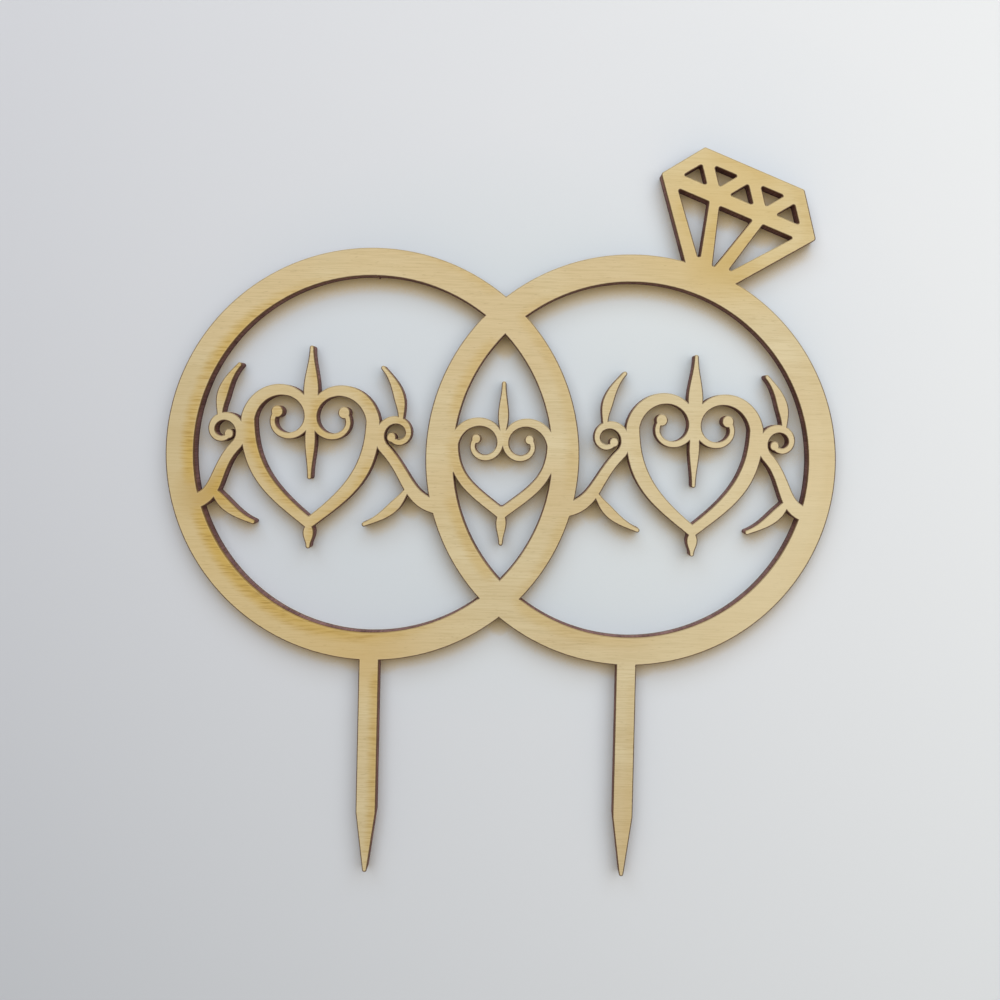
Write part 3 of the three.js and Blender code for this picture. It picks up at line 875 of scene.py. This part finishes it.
# Painted shade on the paper. Above the edges that face up it is painted cooler, as if the wood hid
# a warm light from below the part; below the edges that face down it is a painted brown shadow.
shades = []
for reach, facing in ((lit_shade_reach, -1.0), (brown_shade_reach, 1.0)):
    facing = add_node(tree, "ShaderNodeCombineXYZ", {2: facing}).outputs[0]
    shade = {"Distance": reach * mm, "Normal": facing}
    shades.append(add_node(tree, "ShaderNodeAmbientOcclusion", shade, samples=8).outputs["AO"])
painted_cool_shade = add_node(tree, "ShaderNodeMapRange", {0: shades[0], 1: 1.0, 2: 0.5}).outputs[0]
painted_cool_shade = add_node(tree, "ShaderNodeMath", {0: painted_cool_shade, 1: across}, operation="MULTIPLY").outputs[0]
painted_brown_shadow = add_node(tree, "ShaderNodeMapRange", {0: shades[1], 1: 0.78, 2: 0.5}).outputs[0]

# Beyond what the camera sees the paper pales and fades into the backdrop.
outwards = {0: place, 1: (0, 0, paper_height * mm)}
outwards = add_node(tree, "ShaderNodeVectorMath", outwards, operation="DISTANCE").outputs[1]
faded = {0: outwards, 1: fade_near * mm, 2: fade_far * mm}
faded = add_node(tree, "ShaderNodeMapRange", faded).outputs[0]
tint = painted_light_at_foot
for share, colour, blend in (
    (along, painted_light_at_head, "MIX"),
    (painted_shade_near_part, painted_cool_tint, "MULTIPLY"),
    (painted_cool_shade, linear("#e7f0f7"), "MULTIPLY"),
    (painted_brown_shadow, linear("#ccb684"), "MIX"),
    (faded, linear("#e6e8ea"), "MIX"),
):
    layers = {0: share, 6: tint, 7: colour}
    tint = add_node(tree, "ShaderNodeMix", layers, data_type="RGBA", blend_type=blend).outputs[2]
matt = {"Base Color": tint, "Roughness": 0.9, "Specular IOR Level": 0.1}
matt = add_node(tree, "ShaderNodeBsdfPrincipled", matt).outputs[0]
clear = add_node(tree, "ShaderNodeBsdfTransparent").outputs[0]
behind = add_node(tree, "ShaderNodeNewGeometry").outputs["Backfacing"]
close_by = {0: add_node(tree, "ShaderNodeLightPath").outputs["Ray Length"], 1: passing_ray * mm}
close_by = add_node(tree, "ShaderNodeMath", close_by, operation="LESS_THAN").outputs[0]
hidden = add_node(tree, "ShaderNodeMath", {0: behind, 1: close_by}, operation="MAXIMUM").outputs[0]
hidden = add_node(tree, "ShaderNodeMath", {0: hidden, 1: faded}, operation="MAXIMUM").outputs[0]
sheet = add_node(tree, "ShaderNodeMixShader", {0: hidden, 1: matt, 2: clear}).outputs[0]
add_node(tree, "ShaderNodeOutputMaterial", {"Surface": sheet})
corners = [
    Vector((x * paper_half, paper_gap - sheet_front, paper_height + z * paper_half)) * mm
    for x, z in ((-1, -1), (1, -1), (1, 1), (-1, 1))
]
paper_mesh = bpy.data.meshes.new("paper")
paper_mesh.from_pydata(corners, [], [(0, 1, 2, 3)])
paper_mesh.materials.append(paper)
paper_sheet = bpy.data.objects.new("paper", paper_mesh)
bpy.context.scene.collection.objects.link(paper_sheet)
paper_sheet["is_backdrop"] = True

# The light: a wide window almost straight above the sheet, a cooler one beyond its upper edge, and
# a warm room all round. Two like windows stand behind for the views from there. Their places, from
# the middle of what they light, and their sizes are in millimetres.
world = bpy.data.worlds.new("room")
bpy.context.scene.world = world
world.use_nodes = True
tree = world.node_tree
tree.nodes.clear()
path = add_node(tree, "ShaderNodeLightPath").outputs
seen = path["Is Camera Ray"]
for kind in ("Is Glossy Ray", "Is Transmission Ray"):
    seen = add_node(tree, "ShaderNodeMath", {0: seen, 1: path[kind]}, operation="MAXIMUM").outputs[0]
room = {"Color": linear("#7e7669"), "Strength": 1.0}
room = add_node(tree, "ShaderNodeBackground", room).outputs[0]
backdrop = {"Color": linear("#d6d9db"), "Strength": 1.0}
backdrop = add_node(tree, "ShaderNodeBackground", backdrop).outputs[0]
shown = add_node(tree, "ShaderNodeMixShader", {0: seen, 1: room, 2: backdrop}).outputs[0]
add_node(tree, "ShaderNodeOutputWorld", {"Surface": shown})
lit_middle = Vector((0, 0, 85)) * mm
for name, (x, y, z), width, height, power, colour in (
    ("window", (70, -455, 130), 1100, 490, 2.79, "#fffdfc"),
    ("high_window", (0, -381, 587), 1090, 300, 3.4, "#d7ebff"),
):
    for side in (1, -1):
        lamp = bpy.data.objects.new(name, bpy.data.lights.new(name, "AREA"))
        lamp.data.energy = power
        lamp.data.shape = "RECTANGLE"
        lamp.data.size, lamp.data.size_y = width * mm, height * mm
        lamp.data.color = linear(colour)[:3]
        lamp.location = lit_middle + Vector((side * x, side * y, z)) * mm
        lamp.rotation_euler = (lit_middle - lamp.location).to_track_quat("-Z", "Y").to_euler()
        bpy.context.scene.collection.objects.link(lamp)
bpy.context.scene.view_settings.view_transform = "Standard"

low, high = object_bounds()
